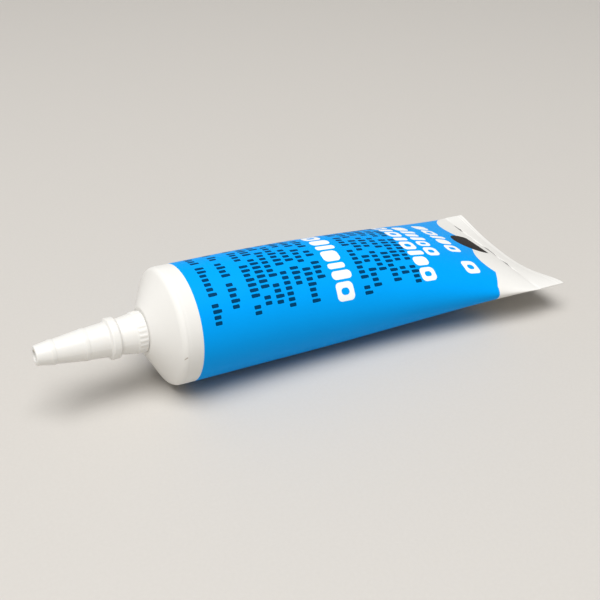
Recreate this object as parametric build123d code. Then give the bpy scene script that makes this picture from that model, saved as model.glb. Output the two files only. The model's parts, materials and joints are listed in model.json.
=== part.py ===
from build123d import *

import os
from math import atan, cos, degrees, pi, radians, sin, sqrt, tan

# A squeeze tube of caulk lying on its back: a sealed, filled sleeve with a moulded shoulder and
# neck, and a hollow nozzle screwed onto the neck.  Lengths are millimetres.
# It is built along X, with X = 0 where the sleeve meets the shoulder's rounded rim, the flat seal
# towards +X and the nozzle towards -X.  Last of all it is laid down on Z = 0.

# ---- Sleeve ----
TUBE_RADIUS = 20.0
SLEEVE_LENGTH = 137.0        # shoulder rim to the inner line of the seal
SLEEVE_WALL = 0.5
FLATTENING = 3.2             # power that sets how late the round sleeve turns flat
SECTION_COUNT = 12

# ---- Heat seal ----
SEAL_LENGTH = 9.3
SEAL_SAG = 4.2               # how far the middle of its end edge hangs below its corners
SEAL_OVERLAP = 1.0           # length of the seal that starts inside the flattened sleeve

# ---- Shoulder and neck ----
RIM_RADIUS = 2.8
SHOULDER_SLOPE = 29.5        # degrees between the shoulder's cone and a flat end
SEAT_WIDTH = 0.9             # flat of the seat that shows outside the nozzle's base
NECK_RADIUS = 4.5
NECK_LENGTH = 8.6
NECK_CHAMFER = 0.8

# ---- Nozzle: places are distances from its base towards its tip ----
NOZZLE_LENGTH = 35.3
GRIP_RADIUS = 6.9
GRIP_LENGTH = 3.0
RIB_COUNT = 26
RIB_WIDTH = 0.7
RIB_HEIGHT = 0.25
WAIST_RADIUS = 5.9
WAIST_PLACE = 8.4            # narrow end of the skirt, just behind the bead
BEAD_RADIUS = 6.9
BEAD_PLACE = 9.1
BEAD_LENGTH = 2.4
BEAD_SLANT = 0.6             # length of the bead's slanted flanks
CONE_RADIUS = 5.8            # thick end of the long cone, just in front of the bead
RING_PLACES = (19.4, 29.9)   # raised rings on the cone
RING_RADII = (5.2, 4.0)      # the cone's radius at each ring
RING_WIDTH = 1.2
RING_HEIGHT = 0.22
TIP_RADIUS = 3.2
OUTLET_RADIUS = 1.9
OUTLET_LENGTH = 8.0          # straight stretch of the bore behind the tip
CHANNEL_RADIUS = 3.9         # thick end of the tapered bore, at the neck

# ---- Fits ----
NECK_CLEARANCE = 0.3         # neck to socket, all round and at the neck's end
SEAT_GAP = 0.25              # nozzle base to the shoulder's seat

# ---- Rest ----
BELLY_FLAT_DEPTH = 0.45      # how far the soft belly is pressed flat where it rests

# ---- Places that follow from the sizes ----
SEAT_RADIUS = GRIP_RADIUS + RIB_HEIGHT + SEAT_WIDTH
RIM_END_X = -RIM_RADIUS * cos(radians(SHOULDER_SLOPE))
RIM_END_RADIUS = TUBE_RADIUS - RIM_RADIUS + RIM_RADIUS * sin(radians(SHOULDER_SLOPE))
SEAT_X = RIM_END_X - (RIM_END_RADIUS - SEAT_RADIUS) * tan(radians(SHOULDER_SLOPE))
NECK_END_X = SEAT_X - NECK_LENGTH
NOZZLE_BASE_X = SEAT_X - SEAT_GAP
SOCKET_RADIUS = NECK_RADIUS + NECK_CLEARANCE
SOCKET_DEPTH = NECK_LENGTH + NECK_CLEARANCE - SEAT_GAP
SEAL_HALF_WIDTH = pi * TUBE_RADIUS / 2
SEAL_THICKNESS = 2 * SLEEVE_WALL
BELOW = (Align.CENTER, Align.CENTER, Align.MAX)


def half_height(share):
    """Half height of the sleeve at a share of its length, round at 0 and flat at 1."""
    return SLEEVE_WALL + (TUBE_RADIUS - SLEEVE_WALL) * (1 - share ** FLATTENING)


def half_width(height):
    """Half width of the ellipse of this half height whose rim is as long as the round sleeve's."""
    low, high = TUBE_RADIUS, 1.1 * SEAL_HALF_WIDTH
    while high - low > 1e-6:
        width = (low + high) / 2
        rim = pi * (3 * (width + height) - sqrt((3 * width + height) * (width + 3 * height)))
        if rim < 2 * pi * TUBE_RADIUS:
            low = width
        else:
            high = width
    return low


def make_sleeve():
    """The filled sleeve: ellipses of one rim length, from a circle to the seal's thickness."""
    sections = []
    for index in range(SECTION_COUNT):
        share = index / (SECTION_COUNT - 1)
        height = half_height(share)
        plane = Plane(origin=(share * SLEEVE_LENGTH, 0, 0), x_dir=(0, 1, 0), z_dir=(1, 0, 0))
        sections.append(plane * Ellipse(half_width(height), height))
    return loft(sections)


def seal_section(x, sag):
    """Cross-section of the seal: a strip whose middle hangs below its two edges."""
    half = SEAL_THICKNESS / 2
    left_top, left_bottom = (-SEAL_HALF_WIDTH, half), (-SEAL_HALF_WIDTH, -half)
    right_top, right_bottom = (SEAL_HALF_WIDTH, half), (SEAL_HALF_WIDTH, -half)
    outline = [
        ThreePointArc(left_top, (0, half - sag), right_top),
        Line(right_top, right_bottom),
        ThreePointArc(right_bottom, (0, -half - sag), left_bottom),
        Line(left_bottom, left_top),
    ]
    plane = Plane(origin=(x, 0, 0), x_dir=(0, 1, 0), z_dir=(1, 0, 0))
    return plane * make_face(outline)


def make_seal():
    """The heat seal, nearly straight where it leaves the sleeve and sagging at its end edge."""
    inner = seal_section(SLEEVE_LENGTH - SEAL_OVERLAP, SLEEVE_WALL / 2)
    outer = seal_section(SLEEVE_LENGTH + SEAL_LENGTH, SEAL_SAG)
    return loft([inner, outer], ruled=True)


def make_shoulder():
    """Rounded rim, cone, flat seat and plain neck, turned about the tube's axis."""
    half_turn = radians((90 - SHOULDER_SLOPE) / 2)
    rim_middle = (-RIM_RADIUS * sin(half_turn), TUBE_RADIUS - RIM_RADIUS + RIM_RADIUS * cos(half_turn))
    profile = [
        Line((0, 0), (0, TUBE_RADIUS)),
        ThreePointArc((0, TUBE_RADIUS), rim_middle, (RIM_END_X, RIM_END_RADIUS)),
        Polyline(
            (RIM_END_X, RIM_END_RADIUS),
            (SEAT_X, SEAT_RADIUS),
            (SEAT_X, NECK_RADIUS),
            (NECK_END_X + NECK_CHAMFER, NECK_RADIUS),
            (NECK_END_X, NECK_RADIUS - NECK_CHAMFER),
            (NECK_END_X, 0),
            (0, 0),
        ),
    ]
    return revolve(make_face(profile), Axis.X)


def make_tube():
    """Sleeve, seal, shoulder and neck, closed and full."""
    return make_sleeve() + make_seal() + make_shoulder()


def turned(outline):
    """Solid of revolution about the tube's axis, from (distance from nozzle base, radius) pairs."""
    points = [(NOZZLE_BASE_X - distance, radius) for distance, radius in outline]
    return revolve(make_face(Polyline(*points, close=True)), Axis.X)


def nozzle_outside():
    """Outer outline of the nozzle: grip ring, skirt, bead and a long cone with raised rings."""
    outline = [(0, 0), (0, GRIP_RADIUS), (GRIP_LENGTH, GRIP_RADIUS)]
    outline += [(WAIST_PLACE, WAIST_RADIUS), (BEAD_PLACE, BEAD_RADIUS)]
    outline += [(BEAD_PLACE + BEAD_LENGTH, BEAD_RADIUS)]
    outline += [(BEAD_PLACE + BEAD_LENGTH + BEAD_SLANT, CONE_RADIUS)]
    for place, radius in zip(RING_PLACES, RING_RADII):
        outline += [
            (place - RING_WIDTH / 2 - RING_HEIGHT, radius),
            (place - RING_WIDTH / 2, radius + RING_HEIGHT),
            (place + RING_WIDTH / 2, radius + RING_HEIGHT),
            (place + RING_WIDTH / 2 + RING_HEIGHT, radius),
        ]
    outline += [(NOZZLE_LENGTH, TIP_RADIUS), (NOZZLE_LENGTH, 0)]
    return outline


def nozzle_inside():
    """Hollow of the nozzle: a socket for the neck, then a bore that tapers to the outlet."""
    return [
        (0, 0),
        (0, SOCKET_RADIUS),
        (SOCKET_DEPTH, SOCKET_RADIUS),
        (SOCKET_DEPTH, CHANNEL_RADIUS),
        (NOZZLE_LENGTH - OUTLET_LENGTH, OUTLET_RADIUS),
        (NOZZLE_LENGTH, OUTLET_RADIUS),
        (NOZZLE_LENGTH, 0),
    ]


def make_nozzle():
    """The hollow screw-on nozzle with ribs around its grip ring."""
    nozzle = turned(nozzle_outside())
    rib_radius = GRIP_RADIUS + RIB_HEIGHT
    for index in range(RIB_COUNT):
        rib = Pos(NOZZLE_BASE_X - GRIP_LENGTH / 2, 0, rib_radius / 2)
        rib *= Box(GRIP_LENGTH, RIB_WIDTH, rib_radius)
        nozzle += Rot(index * 360 / RIB_COUNT, 0, 0) * rib
    return nozzle - turned(nozzle_inside())


def resting_pitch(tube):
    """Degrees that the nose lifts until the tube's weight is over the lowest point of its belly."""
    weight_x = tube.center(CenterOf.MASS).X
    slope = 0.0
    for _ in range(30):
        height = half_height(weight_x / SLEEVE_LENGTH)
        share = (weight_x + height * slope) / SLEEVE_LENGTH
        slope = (TUBE_RADIUS - SLEEVE_WALL) * FLATTENING / SLEEVE_LENGTH * share ** (FLATTENING - 1)
    return degrees(atan(slope))


tube = make_tube()
nozzle = make_nozzle()

# Lay it down: lift the nose, press the belly flat, and set the lowest face on Z = 0.
pitch = resting_pitch(tube)
tube = Rot(0, pitch, 0) * tube
nozzle = Rot(0, pitch, 0) * nozzle
floor_z = tube.bounding_box().min.Z + BELLY_FLAT_DEPTH
below_floor = Box(4 * SLEEVE_LENGTH, 4 * TUBE_RADIUS, 4 * TUBE_RADIUS, align=BELOW)
tube = tube - Pos(0, 0, floor_z) * below_floor
whole = Compound([tube, nozzle]).bounding_box()
placing = Pos(-(whole.min.X + whole.max.X) / 2, -(whole.min.Y + whole.max.Y) / 2, -floor_z)
tube = placing * tube
nozzle = placing * nozzle

os.makedirs("parts", exist_ok=True)
export_step(tube, "parts/tube.step")
export_step(nozzle, "parts/nozzle.step")
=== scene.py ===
import json
from math import cos, exp, hypot, pi, radians, sin, sqrt, tan

import bmesh
import bpy
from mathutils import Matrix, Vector


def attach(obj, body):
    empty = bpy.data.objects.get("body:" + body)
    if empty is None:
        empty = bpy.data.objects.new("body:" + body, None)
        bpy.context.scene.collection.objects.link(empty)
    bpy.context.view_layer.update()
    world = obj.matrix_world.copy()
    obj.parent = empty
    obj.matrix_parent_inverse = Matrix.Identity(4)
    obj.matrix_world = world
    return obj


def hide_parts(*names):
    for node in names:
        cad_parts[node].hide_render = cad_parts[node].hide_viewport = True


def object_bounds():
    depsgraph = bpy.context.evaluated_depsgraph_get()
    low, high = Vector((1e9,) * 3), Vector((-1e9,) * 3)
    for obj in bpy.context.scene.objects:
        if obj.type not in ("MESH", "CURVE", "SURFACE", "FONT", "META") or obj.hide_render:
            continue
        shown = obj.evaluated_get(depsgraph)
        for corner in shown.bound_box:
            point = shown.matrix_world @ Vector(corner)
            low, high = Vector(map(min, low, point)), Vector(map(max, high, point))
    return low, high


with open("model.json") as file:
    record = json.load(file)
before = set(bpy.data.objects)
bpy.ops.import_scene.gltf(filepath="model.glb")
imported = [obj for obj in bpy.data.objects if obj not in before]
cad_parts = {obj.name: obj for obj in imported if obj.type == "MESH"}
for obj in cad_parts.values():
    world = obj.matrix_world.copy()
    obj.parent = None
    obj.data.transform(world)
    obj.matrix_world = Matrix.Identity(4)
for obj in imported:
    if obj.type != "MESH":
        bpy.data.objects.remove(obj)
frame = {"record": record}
cad_low, cad_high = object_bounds()

# The tube's own sizes are millimetres, as in the CAD model.  Along its axis X is 0 where the sleeve
# meets the shoulder's rim, the seal lies towards +X and the nozzle towards -X.  placed() turns a
# point of the tube into the frame's metres.
MM = 0.001

# ---- Sleeve and seal ----
TUBE_RADIUS = 20.0
SLEEVE_LENGTH = 137.0
SLEEVE_WALL = 0.5
FLATTENING = 3.2
SWELL_HEIGHT = 0.10               # of the slow unevenness of the filled sleeve
SWELL_RISE = (8.0, 30.0)          # places between which it sets in
WAVE_HEIGHT = 0.22                # of the shorter waves near its seal
WAVE_START = 60.0
EDGE_START = 19.0                 # over this last length its two sides sharpen into edges
FLOOR_SOFTNESS = 0.12 * MM        # over which the belly turns into its flat, in the frame's metres
SEAL_LENGTH = 9.3
SEAL_SAG = 4.6                    # how far the middle of its end edge hangs below its corners
SEAL_START_SAG = 0.7              # and the middle of its inner line
SEAL_SAG_CURVE = 1.15             # exponent of the way from one to the other
SEAL_EDGE_CURVE = 0.3             # exponent that rounds its two side edges
SEAL_THINNING = 0.1               # how much thinner each wall is at the end edge
SEAL_RIPPLE = 0.25                # height of the slow waves of the end edge
SEAL_SKEW = 1.7                   # how far the ends of its inner line lie ahead and behind
SEAL_LEAD = 0.5                   # how far all of that line lies ahead
SEAL_SKEW_REACH = 24.0            # length of sleeve over which both fade out
SEAL_HALF_WIDTH = pi * TUBE_RADIUS / 2
SEAL_GROOVES = (6.7, 8.1)         # distances of the pressed lines from the seal's inner line
SEAL_GROOVE_DEPTH = 0.18
SEAL_GROOVE_WIDTH = 0.6
CREASE_LEAD = 0.9                 # from the creases' line to the seal's inner line
CREASE_LENGTH = 0.6
CREASE_LINE_DEPTH = 0.15          # of the faint crease all along that line
CREASES = ((18.0, 4.0, 1.0), (6.0, 3.5, 1.1), (-11.0, 4.5, 1.1))   # middle, half width, depth

# ---- Shoulder and neck ----
RIM_RADIUS = 2.8
SHOULDER_SLOPE = radians(29.5)
SEAT_MARGIN = 0.9                 # how far the nozzle's flat seat reaches beyond its ribs
NECK_RADIUS = 4.5
NECK_LENGTH = 8.6
NECK_CHAMFER = 0.8
THREAD_PITCH = 2.1
THREAD_HEIGHT = 0.25
THREAD_FLANK = (0.22, 0.36)       # shares of the pitch between which the ridge's side rises
WELD_STEP = 0.07                  # height of the sleeve's edge where it is welded over the shoulder
WELD_EDGE = (0.3, 0.5)            # where that edge rises
WELD_START = -0.4                 # from here on the shoulder's rim lies that much lower
NECK_MIDDLE = 0.4                 # radius of the one face in the middle of the neck's end
NECK_ROUNDING = 0.25
SEAT_ROUNDING = 0.7

# ---- Nozzle: places are distances from its base towards its tip ----
NOZZLE_LENGTH = 35.3
GRIP_RADIUS = 6.9
GRIP_LENGTH = 3.0
RIB_COUNT = 26
RIB_HEIGHT = 0.25                 # in the CAD model, where it sets the radius of the seat
RIB_RELIEF = 0.15                 # how far the ribs stand out of their rounded valleys here
RIB_FLANK = (0.12, 0.36)          # shares of a rib's turn between which its side rises
PARTING_HEIGHT = 0.05             # of the fine line that the mould's halves leave on both sides
BASE_REACH = 0.2                  # how far the base lip closes the gap to the seat
BASE_CHAMFER = 0.15
GRIP_STEP = 0.22                  # how far the skirt starts inside the grip ring
GRIP_STEP_LENGTH = 0.35
BASE_WALL = 0.5                   # the outline starts this far out from the socket
OUTER_ROUNDING = 0.55
INNER_ROUNDING = 0.3
WAIST_RADIUS = 5.9
WAIST_PLACE = 8.4
BEAD_RADIUS = 6.9
BEAD_PLACE = 9.1
BEAD_LENGTH = 2.4
BEAD_SLANT = 0.6
CONE_RADIUS = 5.8
RING_PLACES = (19.4, 29.9)
RING_RADII = (5.2, 4.0)
RING_WIDTH = 1.2
RING_HEIGHT = 0.12
TIP_RADIUS = 3.2
OUTLET_RADIUS = 1.9
OUTLET_LENGTH = 8.0
CHANNEL_RADIUS = 3.9
NECK_CLEARANCE = 0.3
SEAT_GAP = 0.25
SEAT_RADIUS = GRIP_RADIUS + RIB_HEIGHT + SEAT_MARGIN

# ---- Places that follow ----
RIM_END_X = -RIM_RADIUS * cos(SHOULDER_SLOPE)
RIM_END_RADIUS = TUBE_RADIUS - RIM_RADIUS + RIM_RADIUS * sin(SHOULDER_SLOPE)
SEAT_X = RIM_END_X - (RIM_END_RADIUS - SEAT_RADIUS) * tan(SHOULDER_SLOPE)
NECK_END_X = SEAT_X - NECK_LENGTH
NOZZLE_BASE_X = SEAT_X - SEAT_GAP
SOCKET_RADIUS = NECK_RADIUS + NECK_CLEARANCE
SOCKET_DEPTH = NECK_LENGTH + NECK_CLEARANCE - SEAT_GAP

# ---- Print, measured from the field's front edge and round from the top line ----
PRINT_START = 4.7
BLUE_LENGTH = 113.2
SIDE_STEP = (28.0, 6.7, 3.4)      # where its rear edge steps back: start, width of the slope, step
LENS_STEP = (7.5, 3.0, 1.8)       # the same for the smaller step beside the lens
NEAR_SCALLOP = (14.4, 6.9, 2.3)   # middle, half width, depth
FAR_SCALLOP = (-14.5, 120.2, 0.034)   # middle, place of its foremost point, curve
FAR_SCALLOP_START = -6.3          # beyond this the far scallop is the edge
FAR_SIDE = (-48.0, 0.9)           # where the far scallop meets the straight edge, and its slope there
LENS_MIDDLE = (-1.6, 122.9)
LENS_REACH = (7.6, 8.5)
LENS_END = 126.2                  # the lens is cut off straight here
BLOCK_PITCH = 1.9                 # of the small dark blocks in a row
BLOCK_HEIGHT = 2.4
BLOCK_RISE = 0.35                 # how much higher a tall block's middle lies, on the same foot
LOW_BLOCK = (0.63, 0.35)          # half width, corner
TALL_BLOCK = (0.55, 0.3)
TALL_LIMIT = 0.55                 # a block whose random number is above this is tall
TALL_DRAW = 50.0                  # keeps these numbers apart from the words' numbers
WORD_TURN = 0.382                 # this share of a turn for each block, with a gap near each full
WORD_GAP = 0.17                   # turn, gives words of different lengths
WORD_START = 0.44                 # a row's first word starts by chance up to this far beyond the gap
SHAPE_CORNER = 1.7                # largest corner of a large shape
SHAPE_CORNER_SHARE = 0.9          # of its half width, if that is less
SHAPE_RISE = 0.07                 # of a tall shape, as a share of its row's height
HOLE = (0.38, 0.46, 0.36)         # a ring's hole as shares: half width, half height, corner
FOLD_PLACE = 131.0                # of the line that the folds' shades lie on
FOLDS = ((11.0, 6.5, 0.75), (-1.5, 8.5, 0.6), (-20.0, 5.0, 0.6))   # middle, half length, half thickness
SPECK_MIDDLE = (31.6, -6.0)       # a tiny mark on the rim
SPECK_REACH = (0.3, 0.55)
SMALL_ROWS = (                    # first row, pitch, and how far each row runs to either side
    (5.9, 7.0, (23.6, 19.6)),
    (20.2, 4.22, (23.2, 20.8, 21.2, 23.0, 16.2, 23.2, 15.5)),
    (61.5, 4.1, (24.0, 21.8, 16.4, 21.2, 19.0, 22.9)),
)
BIG_ROWS = (                      # middle, height, then the shapes' starts, ends and kinds
    (53.0, 6.6, ((-24.6, -19.6, "ring"), (-18.6, -13.6, "bar"), (-12.6, -10.4, "tall"), (-9.4, -4.4, "ring"),
                 (-3.4, 0.2, "tall"), (1.2, 3.4, "tall"), (4.4, 9.4, "bar"), (10.4, 12.6, "bar"),
                 (13.6, 16.8, "tall"), (17.8, 24.4, "ring"))),
    (86.9, 6.0, ((-22.6, -17.2, "ring"), (-16.2, -11.2, "ring"), (-10.2, -7.8, "bar"), (-6.8, -1.6, "ring"),
                 (-0.6, 1.6, "bar"), (2.6, 7.8, "ring"), (8.8, 11.0, "tall"), (12.0, 16.2, "bar"),
                 (17.2, 22.6, "ring"))),
    (94.8, 5.8, ((-13.8, -8.4, "bar"), (-7.4, -5.2, "tall"), (-4.2, -2.0, "bar"), (-1.0, 1.2, "tall"),
                 (2.2, 5.8, "ring"), (6.8, 11.8, "ring"))),
    (106.6, 6.2, ((-16.6, -11.2, "bar"), (-10.2, -5.0, "ring"), (-4.0, -1.8, "tall"), (-0.8, 3.4, "bar"),
                  (4.4, 9.4, "ring"), (15.4, 21.8, "ring"))),
)

# ---- Colours, each with the shade it drifts to ----
WHITE_PLASTIC = (0.80, 0.79, 0.762)
WHITE_SHADE = (0.77, 0.756, 0.722)
BLUE_INK = (0.0, 0.346, 0.90)
BLUE_SHADE = (0.0, 0.322, 0.85)
PALE_FLOOR = (0.58, 0.555, 0.52)
FLOOR_SHADE = (0.55, 0.525, 0.49)

# ---- Plain colours, with the folds' painted shade ----
WHITE_INK = (0.86, 0.87, 0.86)    # the large shapes
DARK_INK = (0.0, 0.045, 0.13)     # the small blocks
LENS_INK = (0.013, 0.010, 0.010)
# painted shade: grey in the folds just ahead of the seal, where the creases lie in shadow
PAINTED_FOLD_SHADE = (0.20, 0.19, 0.185)
SPECK_BROWN = (0.50, 0.46, 0.41)

# ---- Surface, with noise scales in cycles a metre and bump heights in metres ----
CLOUD_SCALE = 90.0                # slow drift of the moulding's colour
GRAIN_SCALE = 1400.0
RIPPLE_SCALE = 220.0
MOULDING_ROUGHNESS = 0.30
MOULDING_BUMP = (0.15, 0.00012)   # strength and height
MOULDING_GRAIN = 0.4              # share of the grain in the bump
SCATTER_WEIGHT = 0.15             # light that goes a little way into the thick white moulding
SCATTER_RADIUS = (1.0, 0.9, 0.8)
SCATTER_SCALE = 0.0015
SLEEVE_CLOUD_SCALE = 60.0
SLEEVE_GRAIN_SCALE = 1600.0
SLEEVE_RIPPLE_SCALE = 130.0
SLEEVE_ROUGHNESS = 0.34
SLEEVE_SPECULAR = 0.04
SLEEVE_BUMP = (0.12, 0.00015)
SLEEVE_GRAIN = 0.3
INK_ROUGHNESS = 0.06              # more than the bare sleeve's
INK_HEIGHT = 0.25                 # share of the print's edge in the bump
ROUGHNESS_SPREAD = 0.10
FLOOR_GRAIN_SCALE = 900.0
FLOOR_ROUGHNESS = 0.7

# ---- Fineness ----
TUBE_SIDES = 208
OUTLINE_PITCH = 0.45              # most between two rings of the shoulder and neck
NOZZLE_PITCH = 0.5
FINE_STEP = 0.2                   # between two rings of the sleeve near its ends
COARSE_STEP = 0.8                 # and elsewhere
SEAL_STEPS = 44
RIM_STEPS = 10
MOST_OF_A_SIDE = 0.45             # share of an outline's side that one rounded corner may take
NOZZLE_SIDES = RIB_COUNT * 10
PARTING_SIDE = NOZZLE_SIDES // 4

outlet = next(mount for mount in frame["record"]["mounts"] if mount["name"] == "outlet")
OUTLET_PLACE = Vector(outlet["pos_m"])
OUTLET_X = NOZZLE_BASE_X - NOZZLE_LENGTH + OUTLET_LENGTH / 2
FORWARD = Vector(outlet["axis"])
UPWARD = Vector((FORWARD.z, 0, -FORWARD.x))


def placed(x, y, z):
    """The frame's point for a point of the tube: along its axis, across it and up through its print."""
    return OUTLET_PLACE - FORWARD * (x - OUTLET_X) * MM + Vector((0, y * MM, 0)) + UPWARD * z * MM


def axis_place(point):
    """The place along the tube of a point of the frame."""
    return OUTLET_X - (point - OUTLET_PLACE).dot(FORWARD) / MM


def bump(value, centre, width):
    """A smooth hill of height 1."""
    return exp(-(((value - centre) / width) ** 2))


def smooth_step(value, low, high):
    """0 below low and 1 above high, with a smooth rise between them."""
    share = min(max((value - low) / (high - low), 0.0), 1.0)
    return share * share * (3 - 2 * share)


# ---------------------------------------------------------------------------------------------
# Meshes made of rings
# ---------------------------------------------------------------------------------------------

def skin(name, rings, closing, label=None):
    """A mesh of rings with equal numbers of points.

    closing is "torus" to join the last ring to the first, or "tube" to close the first ring with one
    face and the last one with a strip between its upper and lower halves.  label holds the (around,
    along) places of each ring's points, with one more than the ring at the seam."""
    count = len(rings[0])
    points = [point for ring in rings for point in ring]
    faces = []
    maps = []

    def add_face(corners):
        """corners are (ring, side), where side may run past the ring's last point."""
        faces.append([ring * count + side % count for ring, side in corners])
        if label:
            maps.extend(label[ring][side] for ring, side in corners)

    strips = len(rings) if closing == "torus" else len(rings) - 1
    for ring in range(strips):
        after = (ring + 1) % len(rings)
        for side in range(count):
            add_face([(ring, side), (after, side), (after, side + 1), (ring, side + 1)])
    if closing == "tube":
        last = len(rings) - 1
        quarter = count // 4
        for side in range(quarter, 3 * quarter):
            below, below_next = (2 * quarter - side) % count, (2 * quarter - side - 1) % count
            corners = [(last, side), (last, below), (last, below_next), (last, side + 1)]
            if side == quarter:
                corners.pop(1)
            if side == 3 * quarter - 1:
                corners.pop(-2)
            add_face(corners)
        add_face([(0, side) for side in range(count)])
    mesh = bpy.data.meshes.new(name)
    mesh.from_pydata(points, [], faces)
    if label:
        layer = mesh.uv_layers.new(name="label")
        layer.data.foreach_set("uv", [number for place in maps for number in place])
    shape = bmesh.new()
    shape.from_mesh(mesh)
    bmesh.ops.recalc_face_normals(shape, faces=shape.faces)
    shape.to_mesh(mesh)
    shape.free()
    mesh.shade_smooth()
    piece = bpy.data.objects.new(name, mesh)
    bpy.context.collection.objects.link(piece)
    return piece


def ring_angle(side, sides):
    """Angle of a ring's point, from the underside and by the far side to the top."""
    return 2 * pi * side / sides - pi / 2


def rounded(corners, radius, steps=5):
    """The outline with each inner corner replaced by a small curve, never past the middle of a side."""
    made = [corners[0]]
    for before, corner, after in zip(corners, corners[1:], corners[2:]):
        back = Vector(before) - Vector(corner)
        on = Vector(after) - Vector(corner)
        half = back.angle(on) / 2
        straight = half > pi / 2 - 0.001
        most = MOST_OF_A_SIDE * min(back.length, on.length)
        cut = 0.0 if straight else min(radius / tan(half), most)
        start = Vector(corner) + back.normalized() * cut
        end = Vector(corner) + on.normalized() * cut
        for step in range(steps + 1):
            share = step / steps
            curve = start * (1 - share) ** 2 + Vector(corner) * 2 * share * (1 - share) + end * share ** 2
            made.append(tuple(curve))
    made.append(corners[-1])
    return made


def divided(outline, pitch):
    """The outline with points added so that none is further than pitch from the next."""
    made = [outline[0]]
    for (x0, r0), (x1, r1) in zip(outline, outline[1:]):
        pieces = max(1, round(hypot(x1 - x0, r1 - r0) / pitch + 0.5))
        for piece in range(1, pieces + 1):
            share = piece / pieces
            made.append((x0 + (x1 - x0) * share, r0 + (r1 - r0) * share))
    return made


# ---------------------------------------------------------------------------------------------
# The tube
# ---------------------------------------------------------------------------------------------

def half_height(share):
    """Half height of the sleeve at a share of its length."""
    return SLEEVE_WALL + (TUBE_RADIUS - SLEEVE_WALL) * (1 - share ** FLATTENING)


def half_width(height):
    """Half width of the ellipse of this half height whose rim is as long as the round sleeve's."""
    low, high = TUBE_RADIUS, 1.1 * SEAL_HALF_WIDTH
    for _ in range(40):
        width = (low + high) / 2
        rim = pi * (3 * (width + height) - sqrt((3 * width + height) * (width + 3 * height)))
        low, high = (width, high) if rim < 2 * pi * TUBE_RADIUS else (low, width)
    return min(low, SEAL_HALF_WIDTH)


def thread_height(x, angle):
    """Height of the screw thread's ridge on the neck, which fades out at both ends."""
    turn = (x / THREAD_PITCH + angle / (2 * pi)) % 1.0
    ridge = smooth_step(0.5 - abs(turn - 0.5), *THREAD_FLANK)
    run_in = smooth_step(x, NECK_END_X + 1.0, NECK_END_X + 1.8)
    run_out = 1 - smooth_step(x, SEAT_X - 1.6, SEAT_X - 0.9)
    return THREAD_HEIGHT * ridge * run_in * run_out


def settled(point):
    """The point kept off the floor: the belly is pressed flat where the tube rests."""
    point.z = (point.z + sqrt(point.z ** 2 + FLOOR_SOFTNESS ** 2)) / 2
    return point


def round_ring(x, radius):
    """A ring of the shoulder or neck, with the thread on the neck."""
    ring = []
    for side in range(TUBE_SIDES):
        angle = ring_angle(side, TUBE_SIDES)
        reach = radius + (thread_height(x, angle) if abs(radius - NECK_RADIUS) < 0.01 else 0.0)
        ring.append(placed(x, reach * cos(angle), reach * sin(angle)))
    return ring


def crease(x, across):
    """Depth of the sharp folds where the soft sleeve turns into the stiff seal."""
    line = bump(x, SLEEVE_LENGTH - CREASE_LEAD, CREASE_LENGTH)
    folds = sum(depth * bump(across, middle, width) for middle, width, depth in CREASES)
    return line * (CREASE_LINE_DEPTH + folds)


def seal_skew(x, across):
    """How far the seal's inner line runs askew to the tube, which fades out ahead and behind."""
    ahead = smooth_step(x, SLEEVE_LENGTH - SEAL_SKEW_REACH, SLEEVE_LENGTH)
    behind = 1 - smooth_step(x, SLEEVE_LENGTH, SLEEVE_LENGTH + SEAL_LENGTH)
    return (SEAL_SKEW * across / SEAL_HALF_WIDTH - SEAL_LEAD) * ahead * behind


def sleeve_swell(x, around):
    """Slight unevenness of a filled soft tube: a slow swell that starts behind the shoulder, and
    waves that grow towards the seal and stop there.  Their lengths and phases are given."""
    slow = SWELL_HEIGHT * sin(x / 17.0 + 0.6) * cos(around / 15.0 + 0.4)
    waves = WAVE_HEIGHT * sin(around / 5.2 + x / 23.0 + 0.5)
    slow_share = smooth_step(x, *SWELL_RISE)
    wave_share = smooth_step(x, WAVE_START, SLEEVE_LENGTH - 5)
    wave_share *= 1 - smooth_step(x, SLEEVE_LENGTH - 4, SLEEVE_LENGTH)
    return slow * slow_share + waves * wave_share


def sleeve_ring(x):
    """A ring of the filled sleeve: an ellipse with the round sleeve's rim length, made slightly uneven
    except at its two sharp edges near the seal."""
    height = half_height(x / SLEEVE_LENGTH)
    width = half_width(height)
    flatness = smooth_step(x, SLEEVE_LENGTH - EDGE_START, SLEEVE_LENGTH)
    ring = []
    for side in range(TUBE_SIDES):
        angle = ring_angle(side, TUBE_SIDES)
        around = (angle - pi / 2) * TUBE_RADIUS
        across, up = width * cos(angle), height * sin(angle)
        lift = sleeve_swell(x, around) - (crease(x, across) if up > 0 else 0.0)
        lift += WELD_STEP * smooth_step(x, *WELD_EDGE) - WELD_STEP
        out = Vector((cos(angle) * height, sin(angle) * width)).normalized()
        lift *= 1 - flatness * smooth_step(abs(cos(angle)), 0.9, 0.98)
        ring.append(settled(placed(x + seal_skew(x, across), across + lift * out.x, up + lift * out.y)))
    return ring


def seal_ring(x):
    """A ring of the flat seal: two welded walls whose middle sags towards the end edge."""
    place = x - SLEEVE_LENGTH
    share = place / SEAL_LENGTH
    sag = SEAL_START_SAG + (SEAL_SAG - SEAL_START_SAG) * share ** SEAL_SAG_CURVE
    groove = sum(bump(place, line, SEAL_GROOVE_WIDTH / 2) for line in SEAL_GROOVES) * SEAL_GROOVE_DEPTH
    ring = []
    for side in range(TUBE_SIDES):
        angle = ring_angle(side, TUBE_SIDES)
        across = SEAL_HALF_WIDTH * cos(angle)
        thick = abs(sin(angle)) ** SEAL_EDGE_CURVE * (SLEEVE_WALL - groove - SEAL_THINNING * share)
        hang = sag * (1 - cos(angle) ** 2) ** 1.5
        ripple = SEAL_RIPPLE * share * sin(across / 6.5 + 0.8) * (1 - cos(angle) ** 4)
        up = (thick if sin(angle) > 0 else -thick) - hang + ripple
        ring.append(placed(x + seal_skew(x, across), across, up))
    return ring


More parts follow.
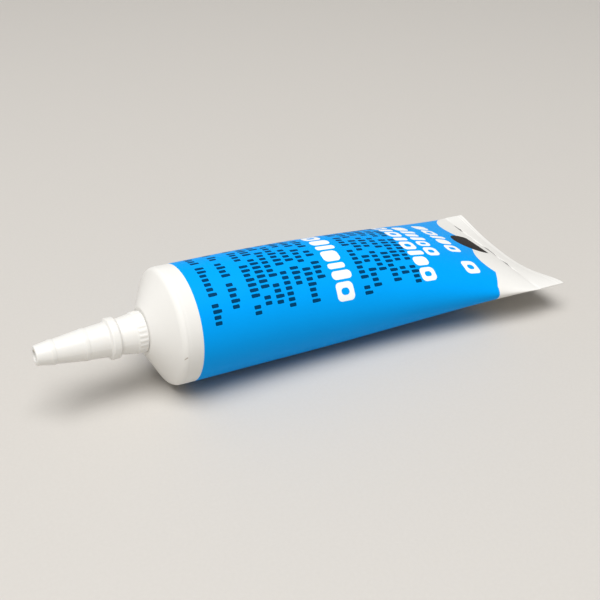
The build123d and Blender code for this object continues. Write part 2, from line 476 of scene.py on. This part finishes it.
def label_places(ring):
    """(around, along) of a ring's points in metres: round from the top line and from the print's start."""
    lengths = [0.0]
    for point, after in zip(ring, ring[1:] + ring[:1]):
        lengths.append(lengths[-1] + (after - point).length)
    along = [(axis_place(point) - PRINT_START) * MM for point in ring + ring[:1]]
    return [(length - lengths[-1] / 2, place) for length, place in zip(lengths, along)]


def make_tube():
    """Neck, shoulder, sleeve and seal as one closed skin."""
    neck = [
        (NECK_END_X, NECK_MIDDLE),
        (NECK_END_X, NECK_RADIUS - NECK_CHAMFER),
        (NECK_END_X + NECK_CHAMFER, NECK_RADIUS),
        (SEAT_X, NECK_RADIUS),
    ]
    shoulder = [(SEAT_X, NECK_RADIUS), (SEAT_X, SEAT_RADIUS), (RIM_END_X, RIM_END_RADIUS)]
    outline = rounded(neck, NECK_ROUNDING) + rounded(shoulder, SEAT_ROUNDING)[1:]
    rim_angle = pi / 2 - SHOULDER_SLOPE
    for step in range(1, RIM_STEPS + 1):
        angle = rim_angle * (1 - step / RIM_STEPS)
        outline.append((-RIM_RADIUS * sin(angle), TUBE_RADIUS - RIM_RADIUS + RIM_RADIUS * cos(angle)))
    rings = []
    for x, radius in divided(outline, OUTLINE_PITCH):
        rings.append(round_ring(x, radius - (WELD_STEP if x > WELD_START else 0.0)))
    x = 0.0
    while x < SLEEVE_LENGTH - 0.05:
        x += FINE_STEP if x < 1.2 or x > SLEEVE_LENGTH - 4 else COARSE_STEP
        x = min(x, SLEEVE_LENGTH)
        rings.append(sleeve_ring(x))
    for step in range(1, SEAL_STEPS + 1):
        x = SLEEVE_LENGTH + SEAL_LENGTH * step / SEAL_STEPS
        rings.append(seal_ring(x))
    return skin("squeeze_tube", rings, "tube", [label_places(ring) for ring in rings])


# ---------------------------------------------------------------------------------------------
# The nozzle
# ---------------------------------------------------------------------------------------------

def nozzle_outline():
    """Closed outline of the nozzle as (distance from its base, radius): outside, tip, then inside."""
    base_middle = (-BASE_REACH, SOCKET_RADIUS + BASE_WALL)
    outside = [base_middle, (-BASE_REACH, GRIP_RADIUS - BASE_CHAMFER)]
    outside += [(BASE_CHAMFER - BASE_REACH, GRIP_RADIUS)]
    outside += [(GRIP_LENGTH, GRIP_RADIUS), (GRIP_LENGTH + GRIP_STEP_LENGTH, GRIP_RADIUS - GRIP_STEP)]
    outside += [(WAIST_PLACE, WAIST_RADIUS), (BEAD_PLACE, BEAD_RADIUS)]
    outside += [(BEAD_PLACE + BEAD_LENGTH, BEAD_RADIUS)]
    outside += [(BEAD_PLACE + BEAD_LENGTH + BEAD_SLANT, CONE_RADIUS)]
    for place, radius in zip(RING_PLACES, RING_RADII):
        outside += [
            (place - RING_WIDTH / 2 - RING_HEIGHT, radius),
            (place - RING_WIDTH / 2, radius + RING_HEIGHT),
            (place + RING_WIDTH / 2, radius + RING_HEIGHT),
            (place + RING_WIDTH / 2 + RING_HEIGHT, radius),
        ]
    outside += [(NOZZLE_LENGTH, TIP_RADIUS), (NOZZLE_LENGTH, OUTLET_RADIUS)]
    inside = [
        (NOZZLE_LENGTH - OUTLET_LENGTH, OUTLET_RADIUS),
        (SOCKET_DEPTH, CHANNEL_RADIUS),
        (SOCKET_DEPTH, SOCKET_RADIUS),
        (-BASE_REACH, SOCKET_RADIUS),
        base_middle,
    ]
    return rounded(outside, OUTER_ROUNDING)[:-1] + rounded(outside[-2:] + inside, INNER_ROUNDING)[1:]


def rib_height(distance, angle):
    """Height of the grip ribs, full over the grip ring and fading at its two edges."""
    turn = (angle * RIB_COUNT / (2 * pi)) % 1.0
    ridge = smooth_step(0.5 - abs(turn - 0.5), *RIB_FLANK)
    start = smooth_step(distance, 0.15, 0.4)
    end = 1 - smooth_step(distance, GRIP_LENGTH - 0.2, GRIP_LENGTH + 0.15)
    return RIB_RELIEF * ridge * start * end


def make_nozzle():
    """The hollow screw-on nozzle as one closed skin."""
    rings = []
    for distance, radius in divided(nozzle_outline(), NOZZLE_PITCH)[:-1]:
        ring = []
        for side in range(NOZZLE_SIDES):
            angle = ring_angle(side, NOZZLE_SIDES)
            reach = radius + (rib_height(distance, angle) if radius > GRIP_RADIUS - 0.4 else 0.0)
            if side % (NOZZLE_SIDES // 2) == PARTING_SIDE and radius > TIP_RADIUS - 0.1:
                reach += PARTING_HEIGHT
            ring.append(placed(NOZZLE_BASE_X - distance, reach * cos(angle), reach * sin(angle)))
        rings.append(ring)
    return skin("nozzle_moulding", rings, "torus")


# ---------------------------------------------------------------------------------------------
# Materials
# ---------------------------------------------------------------------------------------------

class Field:
    """A number that varies over a surface, worked out by Math nodes."""

    def __init__(self, tree, source):
        self.tree = tree
        self.source = source

    def combine(self, operation, *others):
        node = self.tree.nodes.new("ShaderNodeMath")
        node.operation = operation
        for socket, value in zip(node.inputs, (self, *others)):
            if isinstance(value, Field):
                self.tree.links.new(value.source, socket)
            else:
                socket.default_value = value
        return Field(self.tree, node.outputs[0])

    def __add__(self, other):
        return self.combine("ADD", other)

    def __sub__(self, other):
        return self.combine("SUBTRACT", other)

    def __mul__(self, other):
        return self.combine("MULTIPLY", other)

    def __truediv__(self, other):
        return self.combine("DIVIDE", other)

    def size(self):
        return self.combine("ABSOLUTE")

    def whole(self):
        return self.combine("FLOOR")

    def part(self):
        return self.combine("FRACT")

    def above(self, other):
        return self.combine("GREATER_THAN", other)

    def below(self, other):
        return self.combine("LESS_THAN", other)

    def least(self, other):
        return self.combine("MINIMUM", other)

    def most(self, other):
        return self.combine("MAXIMUM", other)


def either(first, *others):
    """1 where any of the fields is 1."""
    for other in others:
        first = first.most(other)
    return first


def box_mask(across, along, half_across, half_along, corner):
    """1 inside a rectangle with rounded corners, from the distances to its middle."""
    over_across = (across.size() - half_across + corner).most(0.0)
    over_along = (along.size() - half_along + corner).most(0.0)
    reach = over_across * over_across + over_along * over_along
    return reach.below(corner * corner)


def chance(tree, first, second):
    """A random number from 0 to 1 for each pair of whole numbers."""
    pair = tree.nodes.new("ShaderNodeCombineXYZ")
    tree.links.new(first.source, pair.inputs[0])
    tree.links.new(second.source, pair.inputs[1])
    node = tree.nodes.new("ShaderNodeTexWhiteNoise")
    node.noise_dimensions = "3D"
    tree.links.new(pair.outputs[0], node.inputs["Vector"])
    return Field(tree, node.outputs["Value"])


def small_rows(around, along, first, pitch, reaches):
    """Rows of small dark blocks in word-like groups, each laid from its near end over the top line.

    reaches holds how far each row runs to either side."""
    tree = around.tree
    row = ((along - first) / pitch + 0.5).whole()
    reach = around * 0.0
    for number, length in enumerate(reaches):
        reach = reach + row.combine("COMPARE", number, 0.1) * length
    from_end = reach - around
    column = (from_end / BLOCK_PITCH).whole()
    start = chance(tree, row, row + first) * WORD_START + WORD_GAP
    word = (column * WORD_TURN + start).part()
    tall = chance(tree, column, row + first + TALL_DRAW).above(TALL_LIMIT)
    middle = (column + 0.5) * BLOCK_PITCH
    across = from_end - middle
    up = along - first - row * pitch
    low_half, low_corner = LOW_BLOCK
    tall_half, tall_corner = TALL_BLOCK
    low_block = box_mask(across, up, low_half, BLOCK_HEIGHT / 2, low_corner)
    tall_block = box_mask(across, up - BLOCK_RISE, tall_half, BLOCK_HEIGHT / 2 + BLOCK_RISE, tall_corner)
    in_row = (middle - reach).size().below(reach)
    return low_block.most(tall_block.least(tall)).least(word.above(WORD_GAP)).least(in_row)


def big_row(around, along, centre, height, shapes):
    """One row of large shapes.  shapes holds each one's start and end round the tube and its kind:
    "bar" is a rounded bar, "tall" a higher one and "ring" one with a hole."""
    made = None
    for start, end, kind in shapes:
        rise = SHAPE_RISE * height if kind == "tall" else 0.0
        middle = around - (start + end) / 2
        up = along - centre - rise
        half_across, half_up = (end - start) / 2, height / 2 + rise
        corner = min(SHAPE_CORNER, half_across * SHAPE_CORNER_SHARE)
        shape = box_mask(middle, up, half_across, half_up, corner)
        if kind == "ring":
            hole = box_mask(middle, up, half_across * HOLE[0], half_up * HOLE[1], half_across * HOLE[2])
            shape = shape - hole
        made = shape if made is None else made.most(shape)
    return made


def step_back(around, start, width, step):
    """A step of the rear edge: 0 on the near side of start, and full at width further to the far side."""
    return ((around * -1.0 + start) / width).most(0.0).least(1.0) * step


def rear_edge(around):
    """Where the blue field ends behind: straight underneath, further back and scalloped on top."""
    middle, reach, depth = NEAR_SCALLOP
    dip = (around - middle) / reach
    near = step_back(around, *SIDE_STEP) + BLUE_LENGTH - (dip * dip * -1.0 + 1.0).most(0.0) * depth
    near = near + step_back(around, *LENS_STEP)
    middle, foremost, curve = FAR_SCALLOP
    offset = around - middle
    side, slope = FAR_SIDE
    far = (offset * offset * curve + foremost).least((around - side) * slope + BLUE_LENGTH)
    return near + (far.most(BLUE_LENGTH) - near) * around.below(FAR_SCALLOP_START)


def painted_fold_shade(around, along):
    """Thin tapering lines of painted shade in the folds just ahead of the seal, where the creases lie in
    shadow.
    """
    offset = (along - FOLD_PLACE + around * (SEAL_SKEW / SEAL_HALF_WIDTH)).size()
    made = None
    for middle, half_length, half_thickness in FOLDS:
        taper = ((around - middle).size() / -half_length + 1.0) * half_thickness
        line = offset.below(taper)
        made = line if made is None else made.most(line)
    return made


def oval_mask(around, along, middle, reach):
    """1 inside an oval, from its middle and its reach round and along the tube."""
    across = (around - middle[0]) / reach[0]
    up = (along - middle[1]) / reach[1]
    return (across * across + up * up).below(1.0)


def label_masks(tree):
    """(blue field, white shapes, dark blocks, dark lens, painted shade in the folds, speck), each 0 or 1."""
    coordinates = tree.nodes.new("ShaderNodeUVMap")
    coordinates.uv_map = "label"
    split = tree.nodes.new("ShaderNodeSeparateXYZ")
    tree.links.new(coordinates.outputs[0], split.inputs[0])
    around = Field(tree, split.outputs[0]) / MM
    along = Field(tree, split.outputs[1]) / MM
    blue = along.above(0.0).least(along.below(rear_edge(around)))
    white = either(*[big_row(around, along, *row) for row in BIG_ROWS])
    dark = either(*[small_rows(around, along, *rows) for rows in SMALL_ROWS])
    lens = oval_mask(around, along, LENS_MIDDLE, LENS_REACH).least(along.below(LENS_END))
    speck = oval_mask(around, along, SPECK_MIDDLE, SPECK_REACH)
    return blue, white, dark, lens, painted_fold_shade(around, along), speck


def noise(tree, scale, detail):
    """A noise texture in the object's own metres."""
    node = tree.nodes.new("ShaderNodeTexNoise")
    node.inputs["Scale"].default_value = scale
    node.inputs["Detail"].default_value = detail
    coordinates = tree.nodes.new("ShaderNodeTexCoord")
    tree.links.new(coordinates.outputs["Object"], node.inputs["Vector"])
    return Field(tree, node.outputs["Fac"])


def mixed(tree, mask, off, on):
    """A colour that is off where the mask is 0 and on where it is 1."""
    node = tree.nodes.new("ShaderNodeMix")
    node.data_type = "RGBA"
    tree.links.new(mask.source, node.inputs["Factor"])
    for socket, colour in ((node.inputs["A"], off), (node.inputs["B"], on)):
        if isinstance(colour, bpy.types.NodeSocket):
            tree.links.new(colour, socket)
        else:
            socket.default_value = (*colour, 1.0)
    return node.outputs["Result"]


def bumped(tree, shader, height, strength, distance):
    """Gives the shader a bump from a height field."""
    node = tree.nodes.new("ShaderNodeBump")
    node.inputs["Strength"].default_value = strength
    node.inputs["Distance"].default_value = distance
    tree.links.new(height.source, node.inputs["Height"])
    tree.links.new(node.outputs[0], shader.inputs["Normal"])


def new_material(name):
    """A material, its node tree and its shader."""
    material = bpy.data.materials.new(name)
    material.use_nodes = True
    tree = material.node_tree
    return material, tree, tree.nodes["Principled BSDF"]


def moulded_plastic():
    """Smooth white polyethylene, a little cloudy under its surface."""
    material, tree, shader = new_material("white_moulding")
    cloud = noise(tree, CLOUD_SCALE, 3.0)
    tree.links.new(mixed(tree, cloud, WHITE_SHADE, WHITE_PLASTIC), shader.inputs["Base Color"])
    grain = noise(tree, GRAIN_SCALE, 2.0)
    roughness = grain * ROUGHNESS_SPREAD + MOULDING_ROUGHNESS
    tree.links.new(roughness.source, shader.inputs["Roughness"])
    shader.inputs["Subsurface Weight"].default_value = SCATTER_WEIGHT
    shader.inputs["Subsurface Radius"].default_value = SCATTER_RADIUS
    shader.inputs["Subsurface Scale"].default_value = SCATTER_SCALE
    height = grain * MOULDING_GRAIN + noise(tree, RIPPLE_SCALE, 2.0)
    bumped(tree, shader, height, *MOULDING_BUMP)
    return material


def printed_plastic():
    """The sleeve: white plastic with a printed blue field, blocks and an oval in generic shapes."""
    material, tree, shader = new_material("printed_sleeve")
    blue, white, dark, lens, folds, speck = label_masks(tree)
    cloud = noise(tree, SLEEVE_CLOUD_SCALE, 3.0)
    plastic = mixed(tree, cloud, WHITE_SHADE, WHITE_PLASTIC)
    colour = mixed(tree, blue, plastic, mixed(tree, cloud, BLUE_SHADE, BLUE_INK))
    colour = mixed(tree, lens, colour, LENS_INK)
    colour = mixed(tree, white, colour, WHITE_INK)
    colour = mixed(tree, dark, colour, DARK_INK)
    # painted shade in the folds ahead of the seal
    colour = mixed(tree, folds, colour, PAINTED_FOLD_SHADE)
    colour = mixed(tree, speck, colour, SPECK_BROWN)
    tree.links.new(colour, shader.inputs["Base Color"])
    printed = either(blue, lens)
    grain = noise(tree, SLEEVE_GRAIN_SCALE, 2.0)
    roughness = grain * ROUGHNESS_SPREAD + SLEEVE_ROUGHNESS + printed * INK_ROUGHNESS
    tree.links.new(roughness.source, shader.inputs["Roughness"])
    shader.inputs["Specular IOR Level"].default_value = SLEEVE_SPECULAR
    height = grain * SLEEVE_GRAIN + noise(tree, SLEEVE_RIPPLE_SCALE, 2.0) + printed * INK_HEIGHT
    bumped(tree, shader, height, *SLEEVE_BUMP)
    return material


def floor_material():
    """Matt pale paint with a very faint grain."""
    material, tree, shader = new_material("pale_floor")
    grain = noise(tree, FLOOR_GRAIN_SCALE, 2.0)
    tree.links.new(mixed(tree, grain, FLOOR_SHADE, PALE_FLOOR), shader.inputs["Base Color"])
    shader.inputs["Roughness"].default_value = FLOOR_ROUGHNESS
    return material


# ---------------------------------------------------------------------------------------------
# The stage
# ---------------------------------------------------------------------------------------------

CAMERA_AZIMUTH = -29.37
CAMERA_ELEVATION = 32.21
CAMERA_DISTANCE = 0.350
CAMERA_LENS = 60.0
CAMERA_SENSOR = 36.0
CAMERA_AIM = Vector((-0.0019, -0.0031, -0.0022))   # where it points, from the middle of the CAD box
KEY_PLACE = (-0.36, -0.36, 1.54)
KEY_SIZE = (1.2, 1.2)
KEY_POWER = 32.2
WORLD_STRENGTH = 0.27
FLOOR_RADIUS = 1.3
FLOOR_RINGS = 6
FLOOR_SIDES = 96
FLOOR_DROP = 0.00002              # how far the floor lies under the object
WALL_CURVE = 0.7
WALL_STEPS = 12
WALL_HEIGHT = 1.1


def make_camera():
    """The camera that was fitted to the object's outlines."""
    camera = bpy.data.objects.new("camera", bpy.data.cameras.new("camera"))
    bpy.context.collection.objects.link(camera)
    azimuth, elevation = radians(CAMERA_AZIMUTH), radians(CAMERA_ELEVATION)
    back = Vector((sin(azimuth) * cos(elevation), -cos(azimuth) * cos(elevation), sin(elevation)))
    aim = (cad_low + cad_high) / 2 + CAMERA_AIM
    camera.location = aim + back * CAMERA_DISTANCE
    camera.rotation_euler = (-back).to_track_quat("-Z", "Y").to_euler()
    camera.data.lens = CAMERA_LENS
    camera.data.sensor_width = CAMERA_SENSOR
    camera.data.clip_start = 0.01
    bpy.context.scene.camera = camera


def make_light(name, place, aim, size, power):
    """A rectangular lamp at place, turned towards aim."""
    lamp = bpy.data.lights.new(name, "AREA")
    lamp.shape = "RECTANGLE"
    lamp.size, lamp.size_y = size
    lamp.energy = power
    light = bpy.data.objects.new(name, lamp)
    light.location = place
    light.rotation_euler = (Vector(aim) - Vector(place)).to_track_quat("-Z", "Y").to_euler()
    bpy.context.collection.objects.link(light)


def make_floor():
    """A pale floor that curves up into a round wall, so that no view shows its edge."""
    outline = [(ring * FLOOR_RADIUS / FLOOR_RINGS, 0.0) for ring in range(1, FLOOR_RINGS + 1)]
    for step in range(1, WALL_STEPS + 1):
        angle = pi / 2 * step / WALL_STEPS
        outline.append((FLOOR_RADIUS + WALL_CURVE * sin(angle), WALL_CURVE * (1 - cos(angle))))
    outline.append((FLOOR_RADIUS + WALL_CURVE, WALL_HEIGHT))
    points = [Vector((0, 0, 0))]
    faces = [(0, side + 1, (side + 1) % FLOOR_SIDES + 1) for side in range(FLOOR_SIDES)]
    for ring, (radius, height) in enumerate(outline):
        start = 1 + ring * FLOOR_SIDES
        for side in range(FLOOR_SIDES):
            angle = 2 * pi * side / FLOOR_SIDES
            points.append(Vector((radius * cos(angle), radius * sin(angle), height)))
            after = (side + 1) % FLOOR_SIDES
            if ring:
                below = start - FLOOR_SIDES
                faces.append((below + side, start + side, start + after, below + after))
    mesh = bpy.data.meshes.new("floor")
    mesh.from_pydata(points, [], faces)
    mesh.shade_smooth()
    floor = bpy.data.objects.new("floor", mesh)
    floor.location.z = cad_low.z - FLOOR_DROP
    bpy.context.collection.objects.link(floor)
    mesh.materials.append(floor_material())


def make_world():
    """Even white light from all sides, and colours shown as they are."""
    world = bpy.data.worlds.new("studio")
    world.use_nodes = True
    background = world.node_tree.nodes["Background"]
    background.inputs["Color"].default_value = (1.0, 1.0, 1.0, 1.0)
    background.inputs["Strength"].default_value = WORLD_STRENGTH
    bpy.context.scene.world = world
    bpy.context.scene.view_settings.view_transform = "Standard"


tube = make_tube()
tube.data.materials.append(printed_plastic())
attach(tube, "tube")
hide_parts("tube")

nozzle = make_nozzle()
nozzle.data.materials.append(moulded_plastic())
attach(nozzle, "nozzle")
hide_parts("nozzle")

make_floor()
make_world()
make_light("key", KEY_PLACE, (0, 0, 0), KEY_SIZE, KEY_POWER)
make_camera()
